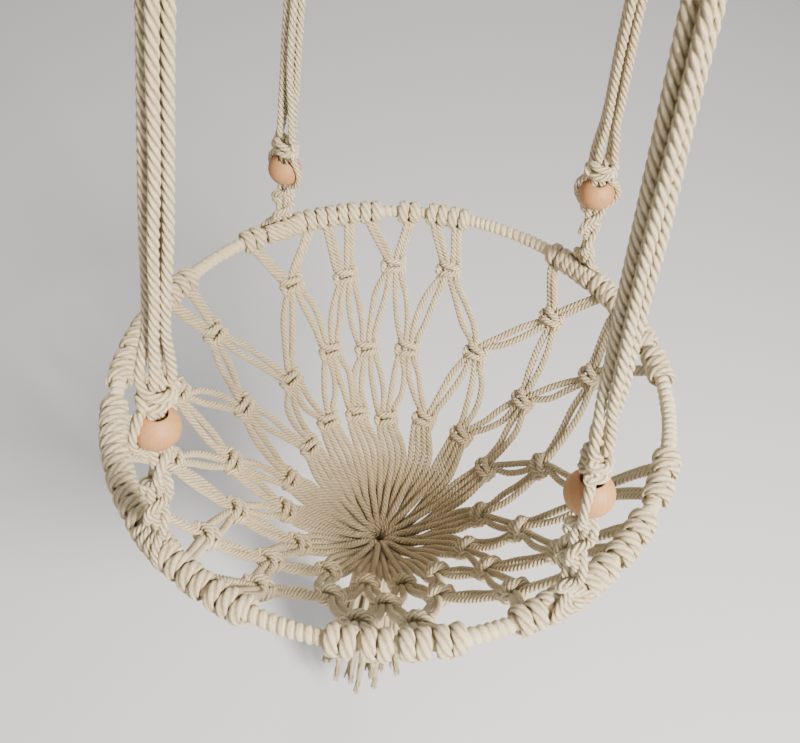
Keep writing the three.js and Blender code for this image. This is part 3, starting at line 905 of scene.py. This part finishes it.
def cotton(name, plies=PLIES, groove=0.78, light=LIT_COTTON):
    """Laid cotton: painted shade in the grooves between the plies, fine yarns along each ply, soft fuzz,
    faint staining.
    """
    n = Nodes(name)
    uv = n.tree.nodes.new("ShaderNodeUVMap")
    uv.uv_map = "along"
    split = n.add("ShaderNodeSeparateXYZ", Vector=uv.outputs[0])
    u, v = split.outputs[0], split.outputs[1]
    place = n.tree.nodes.new("ShaderNodeTexCoord").outputs["Object"]
    waver = n.math("MULTIPLY", n.math("SUBTRACT", n.noise(place, 700.0), 0.5), 0.34)
    turn = n.math("ADD", n.math("MULTIPLY", v, float(plies)), waver)
    apart = n.math("ABSOLUTE", n.math("SUBTRACT", n.math("FRACT", turn), 0.5))      # 0 in a groove
    deep = n.math("MULTIPLY", n.ramp(apart, (0.0, 1.0), (0.12, 0.72), (0.30, 0.0)),
                  n.ramp(n.noise(place, 420.0), (0.30, 0.70), (0.62, 1.0)))
    # Yarns lie along the cord while the plies turn round it.
    lean = n.math("ADD", v, n.math("MULTIPLY", u, 0.33))
    yarn = n.noise(n.vector(n.math("MULTIPLY", u, 1.6), n.math("MULTIPLY", lean, 34.0)), 1.0, 4.0, 0.65)
    fuzz = n.noise(place, 1900.0, 4.0, 0.7)
    stains = n.noise(place, 14.0, 3.0, 0.6)
    patches = n.noise(place, 95.0, 2.0, 0.5)
    color = n.mix(n.ramp(stains, (0.42, 0.0), (0.78, 0.75)), light, STAIN)
    low = n.add("ShaderNodeSeparateXYZ", Vector=place).outputs[2]
    height = n.math("MULTIPLY", n.math("ADD", low, 1.12), 4.0)        # 0 to 1 from the bowl's bottom upwards
    # Tinted tan in a band near the bowl's bottom, set by height and broken up by noise.
    tan_by_height = n.math("MULTIPLY", n.ramp(height, (0.02, 0.0), (0.10, 0.75), (0.35, 0.55), (0.62, 0.0)),
                  n.ramp(n.noise(place, 22.0, 3.0), (0.30, 0.35), (0.62, 1.0)))
    color = n.mix(tan_by_height, color, (0.64, 0.475, 0.265))
    color = n.mix(n.math("MULTIPLY", n.ramp(patches, (0.35, 0.0), (0.75, 1.0)), 0.22), color, STAIN)
    color = n.mix(n.math("MULTIPLY", n.ramp(yarn, (0.30, 1.0), (0.52, 0.0)), 0.55), color, (0.60, 0.47, 0.30))
    color = n.mix(n.math("MULTIPLY", n.ramp(fuzz, (0.55, 0.0), (0.8, 1.0)), 0.25), color, (0.92, 0.87, 0.76))
    # Painted shade: the grooves between the plies are darkened towards SHADE_COTTON.
    color = n.mix(n.math("MULTIPLY", deep, groove), color, SHADE_COTTON)
    n.link(color, n.shader.inputs["Base Color"])
    n.shader.inputs["Roughness"].default_value = 0.93
    n.shader.inputs["Specular IOR Level"].default_value = 0.18
    n.shader.inputs["Sheen Weight"].default_value = 0.22
    n.shader.inputs["Sheen Roughness"].default_value = 0.55
    n.shader.inputs["Sheen Tint"].default_value = (1.0, 0.95, 0.86, 1)
    normal = n.bump(yarn, 0.0011, 1.0)
    normal = n.bump(fuzz, 0.0006, 1.0, normal)
    normal = n.bump(n.math("SUBTRACT", 1.0, deep), 0.00035, 0.8, normal)
    n.link(normal, n.shader.inputs["Normal"])
    return n.material


def beech(name):
    n = Nodes(name)
    place = n.tree.nodes.new("ShaderNodeTexCoord").outputs["Object"]
    axes = n.add("ShaderNodeSeparateXYZ", Vector=place)
    x, y, z = axes.outputs
    warp = n.math("MULTIPLY", n.noise(place, 60.0, 2.0), 0.010)
    rings = n.math("ADD", n.math("MULTIPLY", x, 420.0), n.math("MULTIPLY", warp, 330.0))
    band = n.math("FRACT", rings)
    streak = n.noise(n.vector(n.math("MULTIPLY", x, 2400.0), n.math("MULTIPLY", y, 1500.0),
                              n.math("MULTIPLY", z, 120.0)), 1.0, 3.0, 0.6)
    pores = n.noise(n.vector(n.math("MULTIPLY", x, 5200.0), n.math("MULTIPLY", y, 5200.0),
                             n.math("MULTIPLY", z, 420.0)), 1.0, 1.0, 0.5)
    early, late = (0.40, 0.20, 0.080), (0.34, 0.162, 0.060)
    color = n.ramp(band, (0.0, early), (0.60, (0.37, 0.182, 0.070)), (0.9, late), (1.0, early))
    color = n.mix(n.ramp(streak, (0.35, 0.0), (0.70, 0.55)), color, (0.45, 0.245, 0.108))
    color = n.mix(n.ramp(pores, (0.30, 0.6), (0.42, 0.0)), color, (0.26, 0.12, 0.05))
    n.link(color, n.shader.inputs["Base Color"])
    n.link(n.ramp(streak, (0.2, 0.50), (0.8, 0.64)), n.shader.inputs["Roughness"])
    n.shader.inputs["Specular IOR Level"].default_value = 0.4
    n.link(n.bump(streak, 0.00008, 0.7), n.shader.inputs["Normal"])
    return n.material


def plain(name, color, rough, metal=0.0):
    n = Nodes(name)
    n.shader.inputs["Base Color"].default_value = (*color, 1)
    n.shader.inputs["Roughness"].default_value = rough
    n.shader.inputs["Metallic"].default_value = metal
    place = n.tree.nodes.new("ShaderNodeTexCoord").outputs["Object"]
    n.link(n.bump(n.noise(place, 300.0), 0.0002, 0.2), n.shader.inputs["Normal"])
    return n.material


def finish_pieces(pieces, material):
    for piece in pieces:
        piece.data.materials.clear()
        piece.data.materials.append(material)


finish_pieces(COTTON, cotton("cotton"))
finish_pieces(THIN, cotton("winding cotton", 1, 0.0))
finish_pieces(WOOD, beech("beech"))
finish_pieces([bpy.data.objects["hoop_wire"]], plain("steel", (0.55, 0.55, 0.56), 0.38, 1.0))


# ---------- floor and light ----------
def area_light(name, place, target, size, power, color=(1, 1, 1)):
    data = bpy.data.lights.new(name, "AREA")
    data.shape, data.size, data.energy, data.color = "DISK", size, power, color
    lamp = bpy.data.objects.new(name, data)
    lamp.location = place
    lamp.rotation_euler = (Vector(target) - Vector(place)).to_track_quat("-Z", "Y").to_euler()
    lamp.visible_camera = False
    bpy.context.scene.collection.objects.link(lamp)


def make_stage():
    half, z = 20, -1.32
    floor = mesh_object("floor", [(-half, -half, z), (half, -half, z), (half, half, z), (-half, half, z)],
                        [(0, 1, 2, 3)])
    floor.data.materials.append(plain("floor", (0.62, 0.62, 0.63), 0.9))
    middle = (0, 0, -0.98)
    area_light("key", (0.58, -0.62, -0.30), (0, 0, -0.93), 0.30, 42, (1.0, 0.945, 0.85))
    area_light("fill", (-0.55, -1.15, -0.75), (0, 0, -1.05), 0.8, 5, (1.0, 0.96, 0.90))
    area_light("back", (0.5, 1.5, 0.3), (0, 0, -0.8), 1.3, 16, (1.0, 0.98, 0.95))
    sky = bpy.data.worlds.new("sky")
    bpy.context.scene.world = sky
    sky.use_nodes = True
    sky.node_tree.nodes["Background"].inputs[0].default_value = (1.0, 0.98, 0.95, 1)
    sky.node_tree.nodes["Background"].inputs[1].default_value = 0.50


make_stage()
